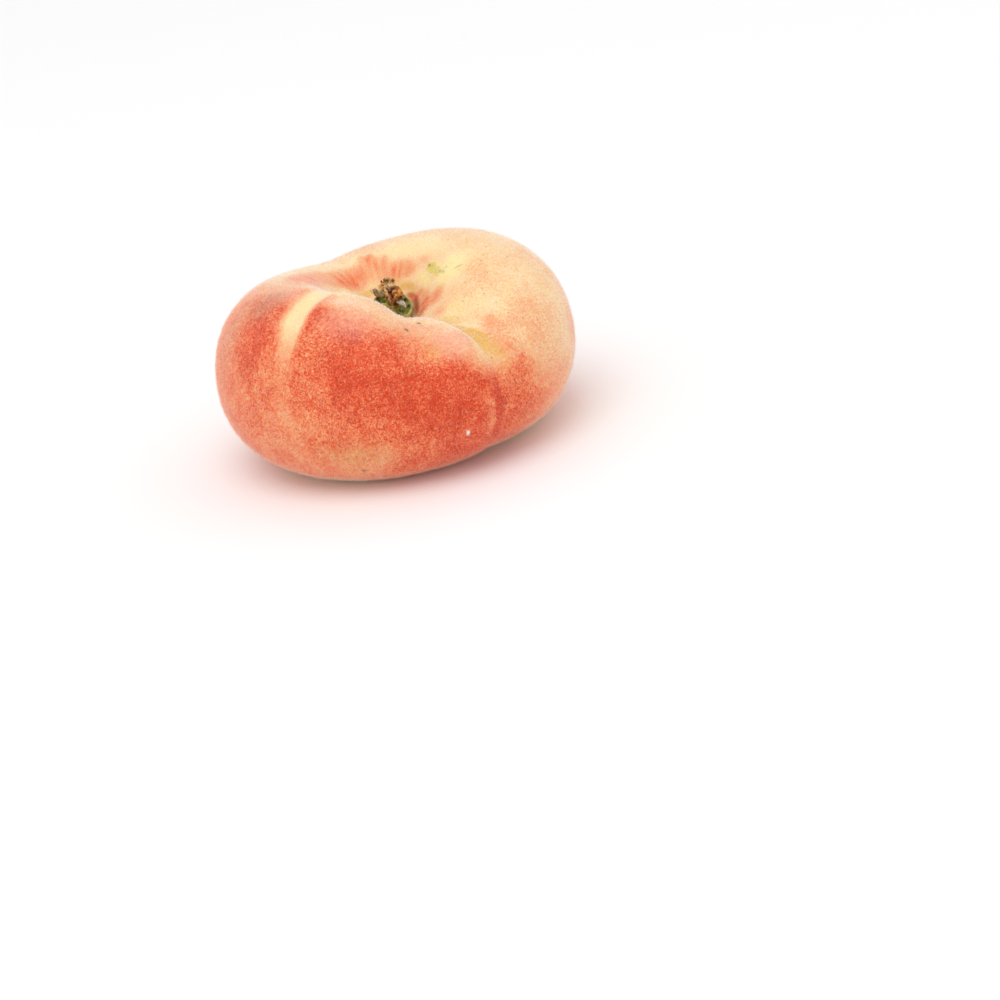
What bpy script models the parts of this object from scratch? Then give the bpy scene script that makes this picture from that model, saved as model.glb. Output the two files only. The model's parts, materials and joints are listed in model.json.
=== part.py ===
"""A flat peach: the fruit, the stub of its stalk, and the torn wood and dried scales about it.

+Z runs up the fruit's axis. The origin is the middle of the box round the fruit, on the surface that
it rests on. The suture faces -Y and the two cheeks face -X and +X.
"""

import math

import bmesh
import bpy
from mathutils import Matrix, Vector, noise

MM = 0.001

# The fruit's driving sizes, in millimetres
EQUATOR_RADIUS = 36.0
EQUATOR_HEIGHT = 17.4
RIM_RADIUS = 18.1
RIM_HEIGHT = 36.3
BASIN_FLOOR = 24.2
FOOT_RADIUS = 18.5
BLOSSOM_DEPTH = 4.0

# How full the curves are: 2 is an ellipse, and more is squarer
SHOULDER_FULLNESS = 2.3
UNDERSIDE_FULLNESS = 2.15
BASIN_STEEPNESS = 1.7
BLOSSOM_STEEPNESS = 1.6

# Where along a meridian, 0 at the stalk and 1 at the blossom end, each stretch of it ends
RIM_AT = 0.24
EQUATOR_AT = 0.52
FOOT_AT = 0.80

# The rim sinks at the suture and, less, opposite it, and is raised on the cheeks. The left cheek is a
# broad crown with a flat top
SUTURE = math.radians(-90)
SUTURE_DIP = 7.2
SUTURE_DIP_LEFT = math.radians(34)
SUTURE_DIP_RIGHT = math.radians(43)
BACK_DIP = 3.2
BACK_DIP_WIDTH = math.radians(50)
CROWN = math.radians(147)
CROWN_RISE = 1.5
CROWN_BACK = math.radians(55)
CROWN_FRONT = math.radians(78)
CROWN_FLATNESS = 4
RIGHT_CHEEK_RISE = 0.45
RIGHT_CHEEK_WIDTH = math.radians(45)

# Left of the suture the rim sags a little and then rises to a lip
SAG = math.radians(-114)
SAG_DEPTH = 1.2
SAG_WIDTH = math.radians(10)
LIP = math.radians(-95)
LIP_RISE = 1.4
LIP_WIDTH = math.radians(8)

# Behind the left cheek the rim has a small notch, and the shoulder is less full
NOTCH = math.radians(79)
NOTCH_DEPTH = 0.55
NOTCH_WIDTH = math.radians(9)
SLOPE = math.radians(135)
SLOPE_SLACK = 0.24
SLOPE_WIDTH = math.radians(36)

# The fruit is a little egg-shaped in plan
EGG_SHAPE = 0.011

# The suture is a groove with a steep left side and a broad right one. Each pair is a place along
# the meridian and the depth there
GROOVE_DEPTHS = (
    (0.00, 0.0),
    (0.08, 1.9),
    (RIM_AT, 3.1),
    (0.40, 2.2),
    (EQUATOR_AT, 0.9),
    (0.65, 0.5),
    (FOOT_AT, 0.7),
    (0.93, 0.7),
    (1.00, 0.0),
)
GROOVE_LEFT = 3.1
GROOVE_RIGHT = 8.0
GROOVE_SHARPNESS = 1.3
GROOVE_LEAST_RADIUS = 6.0

# The foot ring touches down at three small flats
FEET = 3
FOOT_ARCH = 0.5
FOOT_TURN = math.radians(90)
FOOT_PRESS = 0.15

# The fruit's mesh, crowded towards the suture
MERIDIANS = 72
PARALLELS = 44
CROWDING = 0.62

# The stub of the stalk, a cup that leans towards the suture. In its own frame +Z is the stalk's axis
# and +X is the side that it leans to
STEM_FOOT = (0.3, 0.0)
STEM_FOOT_HEIGHT = BASIN_FLOOR + 0.3
STEM_LEAN = math.radians(30)
STEM_LEAN_TOWARDS = math.radians(-68)
STEM_HEIGHT = 4.3
STEM_FOOT_RADIUS = 3.2
STEM_MOUTH_RADIUS = 4.0
STEM_FOOT_BEVEL = 0.35
STEM_HOLLOW_RADIUS = 3.1
STEM_HOLLOW_FOOT = 2.3
STEM_HOLLOW_DEPTH = 2.4
STEM_RIM_ROUND = 0.25
STEM_RIBS = 7
STEM_RIB_HEIGHT = 0.16
STEM_RIM_WAVE = 0.22
STEM_SIDES = 28
CLEARANCE = 0.3

# The torn wood, in the stub's frame: height, radius, and how far its middle has drifted along X
# and Y. It drifts back as it rises, so that it stands upright while the stub leans
WOOD_STATIONS = (
    (2.2, 0.95, -0.1, 0.3),
    (3.4, 1.30, -0.3, 0.5),
    (4.6, 1.60, -0.6, 0.6),
    (5.7, 1.65, -1.0, 0.6),
    (6.6, 1.10, -2.0, 0.7),
    (7.1, 1.05, -2.6, 0.9),
    (7.8, 1.40, -3.2, 1.2),
    (8.4, 1.10, -3.5, 1.4),
)
WOOD_SIDES = 14
WOOD_RINGS = 15
WOOD_ROUGHNESS = 0.42
WOOD_GRAIN = 0.9
WOOD_FOLDS = 5
WOOD_FOLD_DEPTH = 0.10
WOOD_FRAY = 0.75
WOOD_FRAY_LENGTH = 1.2

# Each dried scale, in the stub's frame: the direction and distance of its foot from the axis, in
# degrees and millimetres, its foot's height, how far its face is turned from that direction, its own
# length and width, its tilt towards the side that it faces, and its curl
SCALES = {
    "scale_grey": dict(
        towards=-160, distance=3.7, height=4.75, facing=80, length=1.9, width=2.6, tilt=20, curl=50
    ),
    "scale_pale": dict(
        towards=3, distance=1.3, height=5.1, facing=0, length=1.9, width=1.5, tilt=84, curl=40
    ),
    "scale_tan": dict(
        towards=172, distance=3.95, height=4.9, facing=95, length=1.7, width=1.7, tilt=8, curl=50
    ),
}
SCALE_THICKNESS = 0.6
SCALE_RAGGEDNESS = 0.12
SCALE_OUTWARD_BEND = 0.3
SCALE_FOOT_SHARE = 0.16
SCALE_TIP_SHARE = 0.04
SCALE_ROWS = 9
SCALE_COLUMNS = 7


def clear_scene():
    for thing in list(bpy.data.objects):
        bpy.data.objects.remove(thing, do_unlink=True)


def linear(hex_colour):
    """A hex colour as sRGB shows it, turned to the linear values that a shader takes."""
    values = [int(hex_colour[i : i + 2], 16) / 255 for i in (1, 3, 5)]
    return [v / 12.92 if v <= 0.04045 else ((v + 0.055) / 1.055) ** 2.4 for v in values] + [1.0]


def material(name, hex_colour, roughness):
    made = bpy.data.materials.new(name)
    made.use_nodes = True
    shader = made.node_tree.nodes["Principled BSDF"]
    shader.inputs["Base Color"].default_value = linear(hex_colour)
    shader.inputs["Roughness"].default_value = roughness
    shader.inputs["Metallic"].default_value = 0.0
    return made


def collection(name, hidden=False):
    made = bpy.data.collections.new(name)
    made.hide_render = hidden
    bpy.context.scene.collection.children.link(made)
    return made


def object_from(bm, name, group, finish=None):
    bmesh.ops.recalc_face_normals(bm, faces=bm.faces)
    mesh = bpy.data.meshes.new(name)
    bm.to_mesh(mesh)
    bm.free()
    mesh.shade_smooth()
    made = bpy.data.objects.new(name, mesh)
    group.objects.link(made)
    if finish:
        mesh.materials.append(finish)
    return made


def turn_between(angle, centre):
    """How far the angle is past the centre, between half a turn back and half a turn on."""
    return (angle - centre + math.pi) % math.tau - math.pi


def swell(angle, centre, left, right, flatness=2):
    """1 at the centre, fading smoothly over the width given for each side."""
    past = turn_between(angle, centre)
    return math.exp(-(abs(past / (left if past < 0 else right)) ** flatness))


def between(pairs, at):
    """The value at a place, straight between the pairs either side of it."""
    for (start, low), (end, high) in zip(pairs, pairs[1:]):
        if at <= end:
            return low + (high - low) * (at - start) / (end - start)
    return pairs[-1][1]


def rim_height(azimuth):
    return (
        RIM_HEIGHT
        - SUTURE_DIP * swell(azimuth, SUTURE, SUTURE_DIP_LEFT, SUTURE_DIP_RIGHT)
        - BACK_DIP * swell(azimuth, SUTURE + math.pi, BACK_DIP_WIDTH, BACK_DIP_WIDTH)
        - SAG_DEPTH * swell(azimuth, SAG, SAG_WIDTH, SAG_WIDTH)
        - NOTCH_DEPTH * swell(azimuth, NOTCH, NOTCH_WIDTH, NOTCH_WIDTH)
        + LIP_RISE * swell(azimuth, LIP, LIP_WIDTH, LIP_WIDTH)
        + CROWN_RISE * swell(azimuth, CROWN, CROWN_BACK, CROWN_FRONT, CROWN_FLATNESS)
        + RIGHT_CHEEK_RISE * swell(azimuth, 0.0, RIGHT_CHEEK_WIDTH, RIGHT_CHEEK_WIDTH)
    )


def equator_radius(azimuth):
    return EQUATOR_RADIUS * (1 + EGG_SHAPE * math.cos(azimuth))


def meridian(along, azimuth):
    """Radius and height, without the suture, from the stalk (0) to the blossom end (1)."""
    rim = rim_height(azimuth)
    equator = equator_radius(azimuth)
    arch = FOOT_ARCH * (1 - math.cos(FEET * (azimuth - FOOT_TURN))) / 2
    if along < RIM_AT:
        part = along / RIM_AT
        rise = math.sin(part * math.pi / 2) ** BASIN_STEEPNESS
        return RIM_RADIUS * part, BASIN_FLOOR + (rim - BASIN_FLOOR) * rise
    if along < EQUATOR_AT:
        turn = (along - RIM_AT) / (EQUATOR_AT - RIM_AT) * math.pi / 2
        fullness = SHOULDER_FULLNESS - SLOPE_SLACK * swell(azimuth, SLOPE, SLOPE_WIDTH, SLOPE_WIDTH)
        out = math.sin(turn) ** (2 / fullness)
        up = max(math.cos(turn), 0.0) ** (2 / fullness)
        return RIM_RADIUS + (equator - RIM_RADIUS) * out, EQUATOR_HEIGHT + (rim - EQUATOR_HEIGHT) * up
    if along < FOOT_AT:
        turn = (along - EQUATOR_AT) / (FOOT_AT - EQUATOR_AT) * math.pi / 2
        out = max(math.cos(turn), 0.0) ** (2 / UNDERSIDE_FULLNESS)
        down = math.sin(turn) ** (2 / UNDERSIDE_FULLNESS)
        return FOOT_RADIUS + (equator - FOOT_RADIUS) * out, EQUATOR_HEIGHT * (1 - down) + arch * down
    part = (1 - along) / (1 - FOOT_AT)
    fall = math.sin(part * math.pi / 2) ** BLOSSOM_STEEPNESS
    return FOOT_RADIUS * part, BLOSSOM_DEPTH * (1 - fall) + arch * fall


def skin_point(along, azimuth):
    """A point of the skin: the meridian, pressed in along its normal where the suture runs."""
    radius, height = meridian(along, azimuth)
    step = 0.0005
    ahead = meridian(min(along + step, 1.0), azimuth)
    behind = meridian(max(along - step, 0.0), azimuth)
    run = Vector((ahead[0] - behind[0], ahead[1] - behind[1])).normalized()
    past = turn_between(azimuth, SUTURE) * max(radius, GROOVE_LEAST_RADIUS)
    width = GROOVE_LEFT if past < 0 else GROOVE_RIGHT
    depth = between(GROOVE_DEPTHS, along) * math.exp(-((abs(past) / width) ** GROOVE_SHARPNESS))
    radius += depth * run.y
    height -= depth * run.x
    height = max(height - FOOT_PRESS, 0.0)
    return Vector((radius * math.cos(azimuth), radius * math.sin(azimuth), height)) * MM


def stem_frame():
    """Places the stub: its own +Z is the stalk's axis, +X the side it leans to, its foot the origin."""
    foot = Vector((STEM_FOOT[0], STEM_FOOT[1], STEM_FOOT_HEIGHT)) * MM
    turned = Matrix.Rotation(STEM_LEAN_TOWARDS, 4, "Z")
    return Matrix.Translation(foot) @ turned @ Matrix.Rotation(STEM_LEAN, 4, "Y")


def make_fruit(group, cutters, finish):
    bm = bmesh.new()
    bmesh.ops.create_uvsphere(bm, u_segments=MERIDIANS, v_segments=PARALLELS, radius=1.0)
    for vert in bm.verts:
        along = math.acos(max(-1.0, min(1.0, vert.co.z))) / math.pi
        turn = turn_between(math.atan2(vert.co.y, vert.co.x), SUTURE)
        vert.co = skin_point(along, SUTURE + turn - CROWDING * math.sin(turn))
    fruit = object_from(bm, "fruit", group, finish)
    seat = stem_seat(cutters)
    cut = fruit.modifiers.new("stem_seat", "BOOLEAN")
    cut.operation = "DIFFERENCE"
    cut.solver = "EXACT"
    cut.object = seat
    return fruit


def stem_seat(cutters):
    """The socket at the bottom of the basin that the stub stands in, clear of it all round."""
    radius = STEM_MOUTH_RADIUS + STEM_RIB_HEIGHT + CLEARANCE
    height = 2 * STEM_HEIGHT
    bm = bmesh.new()
    bmesh.ops.create_cone(
        bm, cap_ends=True, segments=STEM_SIDES, radius1=radius * MM, radius2=radius * MM, depth=height * MM
    )
    raised = Matrix.Translation((0, 0, (height / 2 - CLEARANCE) * MM))
    bmesh.ops.transform(bm, matrix=stem_frame() @ raised, verts=bm.verts)
    seat = object_from(bm, "stem_seat", cutters)
    seat.hide_render = True
    seat.display_type = "WIRE"
    return seat


def stem_profile():
    """The stub's wall as radius and height, from the middle of its foot round to its hollow."""
    points = [(0.0, 0.0), (STEM_FOOT_RADIUS - STEM_FOOT_BEVEL, 0.0), (STEM_FOOT_RADIUS, STEM_FOOT_BEVEL)]
    for step in range(1, 5):
        part = step / 5
        flare = STEM_FOOT_RADIUS + (STEM_MOUTH_RADIUS - STEM_FOOT_RADIUS) * math.sin(part * math.pi / 2)
        points.append((flare, STEM_FOOT_BEVEL + (STEM_HEIGHT - 2 * STEM_FOOT_BEVEL) * part))
    points.append((STEM_MOUTH_RADIUS, STEM_HEIGHT - STEM_RIM_ROUND))
    points.append((STEM_MOUTH_RADIUS - STEM_RIM_ROUND, STEM_HEIGHT))
    points.append((STEM_HOLLOW_RADIUS + STEM_RIM_ROUND, STEM_HEIGHT - 0.05))
    points.append((STEM_HOLLOW_RADIUS, STEM_HEIGHT - 2 * STEM_RIM_ROUND))
    points.append((STEM_HOLLOW_FOOT, STEM_HEIGHT - STEM_HOLLOW_DEPTH))
    points.append((0.0, STEM_HEIGHT - STEM_HOLLOW_DEPTH - 0.1))
    return points


def make_stem(group, finish):
    bm = bmesh.new()
    verts = [bm.verts.new((radius * MM, 0, height * MM)) for radius, height in stem_profile()]
    edges = [bm.edges.new(pair) for pair in zip(verts, verts[1:])]
    bmesh.ops.spin(
        bm, geom=verts + edges, cent=(0, 0, 0), axis=(0, 0, 1), angle=math.tau, steps=STEM_SIDES
    )
    bmesh.ops.remove_doubles(bm, verts=bm.verts, dist=0.01 * MM)
    for vert in bm.verts:
        radius = math.hypot(vert.co.x, vert.co.y)
        turn = math.atan2(vert.co.y, vert.co.x)
        up = vert.co.z / (STEM_HEIGHT * MM)
        if radius > STEM_HOLLOW_RADIUS * MM:
            rib = 1 + STEM_RIB_HEIGHT / STEM_MOUTH_RADIUS * math.cos(STEM_RIBS * turn)
            vert.co.x *= rib
            vert.co.y *= rib
        if up > 0.8:
            vert.co.z += STEM_RIM_WAVE * MM * math.sin(3 * turn + 0.6)
    bmesh.ops.transform(bm, matrix=stem_frame(), verts=bm.verts)
    return object_from(bm, "stem", group, finish)


def make_torn_wood(group, finish):
    """A column that bulges, narrows to a neck and ends in a frayed tuft."""
    bm = bmesh.new()
    bmesh.ops.create_cone(
        bm, cap_ends=True, cap_tris=True, segments=WOOD_SIDES, radius1=1.0, radius2=1.0, depth=1.0
    )
    uprights = [edge for edge in bm.edges if abs(edge.verts[0].co.z - edge.verts[1].co.z) > 0.5]
    bmesh.ops.subdivide_edges(bm, edges=uprights, cuts=WOOD_RINGS, use_grid_fill=True)
    bottom = WOOD_STATIONS[0][0]
    top = WOOD_STATIONS[-1][0]
    radii = [(station[0], station[1]) for station in WOOD_STATIONS]
    drifts = [(station[0], station[2]) for station in WOOD_STATIONS]
    sways = [(station[0], station[3]) for station in WOOD_STATIONS]
    for vert in bm.verts:
        height = bottom + (top - bottom) * (vert.co.z + 0.5)
        turn = math.atan2(vert.co.y, vert.co.x)
        edge = min(math.hypot(vert.co.x, vert.co.y), 1.0)
        around = Vector((math.cos(turn), math.sin(turn), height * 0.35)) / WOOD_GRAIN
        grain = noise.noise(around + Vector((7, 3, 1)))
        folds = math.cos(WOOD_FOLDS * turn + 0.8 * height)
        rough = min(1.0, (height - bottom) / WOOD_FRAY_LENGTH)
        uneven = 1 + rough * (WOOD_ROUGHNESS * grain + WOOD_FOLD_DEPTH * folds)
        radius = between(radii, height) * uneven * edge
        frayed = max(0.0, (height - top + WOOD_FRAY_LENGTH) / WOOD_FRAY_LENGTH)
        lengthwise = between(drifts, height) + radius * math.cos(turn)
        sideways = between(sways, height) + radius * math.sin(turn)
        vert.co = Vector((lengthwise, sideways, height + WOOD_FRAY * folds * edge * frayed)) * MM
    bmesh.ops.transform(bm, matrix=stem_frame(), verts=bm.verts)
    return object_from(bm, "torn_wood", group, finish)


def make_scale(group, name, finish, towards, distance, height, facing, length, width, tilt, curl):
    """A pointed flake, curled across its width, that stands on the stub and leans outwards."""
    bm = bmesh.new()
    bmesh.ops.create_grid(bm, x_segments=SCALE_COLUMNS - 1, y_segments=SCALE_ROWS - 1, size=0.5)
    for vert in bm.verts:
        across = 2 * vert.co.x
        along = vert.co.y + 0.5
        swelling = SCALE_FOOT_SHARE + (1 - SCALE_FOOT_SHARE - SCALE_TIP_SHARE) * along
        share = math.sin(math.pi * swelling) ** 0.7
        radius = width / 2 / math.radians(curl)
        bend = math.radians(curl) * across * share
        ragged = SCALE_RAGGEDNESS * noise.noise(Vector((across * 2.1, along * 3.0, distance)))
        outward = SCALE_OUTWARD_BEND * along * along + ragged - radius * (1 - math.cos(bend))
        vert.co = Vector((outward, radius * math.sin(bend), length * along)) * MM
    leaning = Matrix.Rotation(math.radians(tilt), 4, "Y")
    faced = Matrix.Rotation(math.radians(facing), 4, "Z")
    placed = Matrix.Translation((distance * MM, 0, height * MM)) @ faced @ leaning
    turned = Matrix.Rotation(math.radians(towards), 4, "Z")
    bmesh.ops.transform(bm, matrix=stem_frame() @ turned @ placed, verts=bm.verts)
    flake = object_from(bm, name, group, finish)
    wall = flake.modifiers.new("wall", "SOLIDIFY")
    wall.thickness = SCALE_THICKNESS * MM
    wall.offset = 0.0
    return flake


def centre_on_origin(things, measured):
    """Moves everything so that the box round the measured object is centred on the origin."""
    xs = [vert.co.x for vert in measured.data.vertices]
    ys = [vert.co.y for vert in measured.data.vertices]
    move = Matrix.Translation((-(min(xs) + max(xs)) / 2, -(min(ys) + max(ys)) / 2, 0))
    for thing in things:
        thing.data.transform(move)


def main():
    clear_scene()
    parts = collection("flat_peach")
    cutters = collection("cutters", hidden=True)
    fruit = make_fruit(parts, cutters, material("peach_skin", "#E8946C", 0.62))
    make_stem(parts, material("green_stalk", "#7F9146", 0.55))
    make_torn_wood(parts, material("torn_wood", "#6B4428", 0.85))
    finishes = {
        "scale_grey": material("dry_scale_grey", "#8A8377", 0.8),
        "scale_pale": material("dry_scale_pale", "#C8BDB6", 0.75),
        "scale_tan": material("dry_scale_tan", "#A87B4A", 0.8),
    }
    for name, sizes in SCALES.items():
        make_scale(parts, name, finishes[name], **sizes)
    centre_on_origin(list(parts.objects) + list(cutters.objects), fruit)


main()
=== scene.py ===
"""The looks of the flat peach: its fuzzy skin, the stub of its stalk, the torn wood and dried scales."""

import functools
import itertools
import json
import math

import bpy
import numpy as np
from mathutils import Matrix, Vector

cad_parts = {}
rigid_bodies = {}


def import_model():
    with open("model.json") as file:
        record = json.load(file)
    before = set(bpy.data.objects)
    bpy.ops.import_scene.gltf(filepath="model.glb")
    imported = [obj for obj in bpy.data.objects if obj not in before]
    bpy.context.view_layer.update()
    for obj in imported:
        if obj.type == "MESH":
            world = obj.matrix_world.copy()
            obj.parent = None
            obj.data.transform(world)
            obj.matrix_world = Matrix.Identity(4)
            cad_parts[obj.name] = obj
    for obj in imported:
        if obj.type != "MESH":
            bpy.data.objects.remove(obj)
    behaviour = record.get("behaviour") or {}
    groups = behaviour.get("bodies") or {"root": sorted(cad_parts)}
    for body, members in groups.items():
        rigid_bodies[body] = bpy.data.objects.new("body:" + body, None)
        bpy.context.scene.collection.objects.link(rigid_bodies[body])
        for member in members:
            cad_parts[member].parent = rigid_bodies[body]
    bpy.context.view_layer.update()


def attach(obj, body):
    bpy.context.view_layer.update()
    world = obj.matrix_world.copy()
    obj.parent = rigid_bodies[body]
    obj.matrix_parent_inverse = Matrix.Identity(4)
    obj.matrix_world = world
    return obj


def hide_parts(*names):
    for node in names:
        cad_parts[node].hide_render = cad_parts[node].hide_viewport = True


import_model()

MM = 0.001

# The camera looks from an azimuth counted from the suture, an elevation and a roll, and the fruit's
# middle lies at a pixel of the frame
FRAME_PIXELS = 1000
VIEW_AZIMUTH = math.radians(-33.3)
VIEW_ELEVATION = math.radians(18.6)
VIEW_ROLL = math.radians(10.9)
VIEW_DISTANCE = 800 * MM
VIEW_MIDDLE = Vector((0, 0, 18 * MM))
MIDDLE_PIXEL = (394.2, 351.0)
PIXELS_PER_MM = 5.0
SENSOR_MM = 36.0

# The fruit's form, in millimetres and degrees, as the solids have it
EQUATOR_RADIUS = 36.0
EQUATOR_HEIGHT = 17.4
RIM_RADIUS = 18.1
RIM_HEIGHT = 36.3
BASIN_FLOOR = 24.2
FOOT_RADIUS = 18.5
BLOSSOM_DEPTH = 4.0
SHOULDER_FULLNESS = 2.3
UNDERSIDE_FULLNESS = 2.15
BASIN_STEEPNESS = 1.7
BLOSSOM_STEEPNESS = 1.6
RIM_AT = 0.24
EQUATOR_AT = 0.52
FOOT_AT = 0.80
SUTURE = -90.0
# How far the rim rises at an azimuth, over what width to its left and right, and how flat on top
RIM_SWELLS = (
    (SUTURE, -7.2, 34, 43, 2),
    (SUTURE + 180, -3.2, 50, 50, 2),
    (-114, -1.2, 10, 10, 2),
    (-95, 1.4, 8, 8, 2),
    (147, 1.5, 55, 78, 4),
    (79, -0.55, 9, 9, 2),
    (0, 0.45, 45, 45, 2),
)
# Behind the left cheek the shoulder is less full: the middle and width of that stretch, in degrees
SLOPE = 135
SLOPE_SLACK = 0.24
SLOPE_WIDTH = 36
EGG_SHAPE = 0.011
GROOVE_PLACES = (0.0, 0.08, RIM_AT, 0.40, EQUATOR_AT, 0.65, FOOT_AT, 0.93, 1.0)
GROOVE_DEPTHS = (0.0, 1.9, 3.1, 2.2, 0.9, 0.5, 0.7, 0.7, 0.0)
GROOVE_LEFT = 3.1
GROOVE_RIGHT = 8.0
GROOVE_SHARPNESS = 1.3
GROOVE_LEAST_RADIUS = 6.0
FEET = 3
FOOT_ARCH = 0.5
FOOT_TURN = 90.0
FOOT_PRESS = 0.15
# The step along a meridian over which its slope is taken
SLOPE_STEP = 0.0005

# The skin's mesh, crowded towards the suture, before it is subdivided twice
SKIN_MERIDIANS = 90
SKIN_PARALLELS = 55
CROWDING = 0.5

# The stub's own frame: where its foot stands, how far it leans and towards what azimuth
STEM_FOOT = (0.3, 0.0, BASIN_FLOOR + 0.3)
STEM_LEAN = math.radians(30)
STEM_LEAN_TOWARDS = math.radians(-68)


def linear(hex_colour):
    """A hex colour as sRGB shows it, turned to the linear values that a shader takes."""
    values = [int(hex_colour[i : i + 2], 16) / 255 for i in (1, 3, 5)]
    return [v / 12.92 if v <= 0.04045 else ((v + 0.055) / 1.055) ** 2.4 for v in values] + [1.0]


def add_node(tree, kind, inputs=(), output=0, stops=(), **settings):
    """Adds a shader node and gives one of its outputs.

    Its inputs come by name or number, or in order: each is linked to a socket, or set to a value or a
    hex colour. A colour ramp also takes its stops, each a position and a hex colour.
    """
    made = tree.nodes.new("ShaderNode" + kind)
    for name, value in settings.items():
        setattr(made, name, value)
    for name, value in (inputs if isinstance(inputs, dict) else dict(enumerate(inputs))).items():
        if isinstance(value, bpy.types.NodeSocket):
            tree.links.new(value, made.inputs[name])
        else:
            made.inputs[name].default_value = linear(value) if isinstance(value, str) else value
    for _ in stops[2:]:
        made.color_ramp.elements.new(0.5)
    for number, (where, colour) in enumerate(stops):
        made.color_ramp.elements[number].position = where
        made.color_ramp.elements[number].color = linear(colour)
    return made.outputs[output]


def new_material(name, constants):
    """A Principled material with constants on its sockets, and what adds nodes to its tree."""
    made = bpy.data.materials.new(name)
    made.use_nodes = True
    sockets = made.node_tree.nodes["Principled BSDF"].inputs
    for socket, value in constants.items():
        sockets[socket].default_value = linear(value) if isinstance(value, str) else value
    return made, functools.partial(add_node, made.node_tree)


def feed(made, name, socket):
    """Links a socket to one of a material's own inputs."""
    made.node_tree.links.new(socket, made.node_tree.nodes["Principled BSDF"].inputs[name])


def layered(add, colour, *layers):
    """Lays colours over a ground, each by its share, a socket or an attribute's name, times its strength."""
    for share, over, *strength in layers:
        if isinstance(share, str):
            share = add("Attribute", output="Fac", attribute_name=share)
        if strength:
            share = add("Math", (share, *strength), operation="MULTIPLY", use_clamp=True)
        colour = add("Mix", {0: share, 6: colour, 7: over}, 2, data_type="RGBA")
    return colour


def roughen(made, add, place, size, detail, strength, depth):
    """Gives a material fine grain: noise of a size and a depth in millimetres."""
    grain = add("TexNoise", {"Vector": place, "Scale": 1 / (size * MM), "Detail": detail})
    feed(made, "Normal", add("Bump", {"Strength": strength, "Distance": depth * MM, "Height": grain}))


def read(items, name, width=3, kind=np.float32):
    """Reads a row of values from each vertex, normal, triangle or attribute value of a mesh."""
    flat = np.empty(len(items) * width, kind)
    items.foreach_get(name, flat)
    return flat.reshape(-1, width)


def get_points(mesh):
    return read(mesh.vertices, "co").astype(float)


def get_normals(mesh):
    return read(mesh.vertex_normals, "vector").astype(float)


def set_points(mesh, points):
    mesh.vertices.foreach_set("co", points.astype(np.float32).ravel())
    mesh.update()


def store(mesh, name, values):
    """Keeps a value for each point of a mesh, for its material to read."""
    layer = mesh.attributes.new(name, "FLOAT", "POINT")
    layer.data.foreach_set("value", np.asarray(values, np.float32))


def apply_modifier(piece, kind, **settings):
    bpy.ops.object.select_all(action="DESELECT")
    piece.select_set(True)
    bpy.context.view_layer.objects.active = piece
    modifier = piece.modifiers.new(kind.lower(), kind)
    for name, value in settings.items():
        setattr(modifier, name, value)
    bpy.ops.object.modifier_apply(modifier=modifier.name)


def smooth_noise(points, wavelength, seed):
    """Noise from -1 to 1 at each point, with features about a wavelength across."""
    table = np.random.RandomState(seed).uniform(-1, 1, 4096)
    cell = np.asarray(points, float) / wavelength + 11.7 * seed
    corner = np.floor(cell).astype(np.int64)
    part = cell - corner
    part = part**3 * (part * (part * 6 - 15) + 10)
    total = np.zeros(len(cell))
    for step in itertools.product((0, 1), repeat=3):
        place = corner + step
        hashed = (place[:, 0] * 73856093) ^ (place[:, 1] * 19349663) ^ (place[:, 2] * 83492791)
        total += table[hashed & 4095] * np.prod(np.where(step, part, 1 - part), axis=1)
    return total


def flat_noise(across, along, seed):
    """Noise on a sheet, with features about 1 across."""
    return smooth_noise(np.stack([across, along + 0 * across, 0 * across], axis=-1), 1, seed)


def edge(value, low, high):
    """0 below low, 1 above high, smooth between."""
    part = np.clip((value - low) / (high - low), 0, 1)
    return part * part * (3 - 2 * part)


def turned(degrees):
    """The angle brought between -180 and 180."""
    return (degrees + 180) % 360 - 180


def swell(azimuth, centre, left, right, flatness=2):
    """A bump over an azimuth: 1 at its centre, fading with its own width to each side."""
    past = turned(azimuth - centre)
    return np.exp(-(np.abs(past / np.where(past < 0, left, right)) ** flatness))


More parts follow.
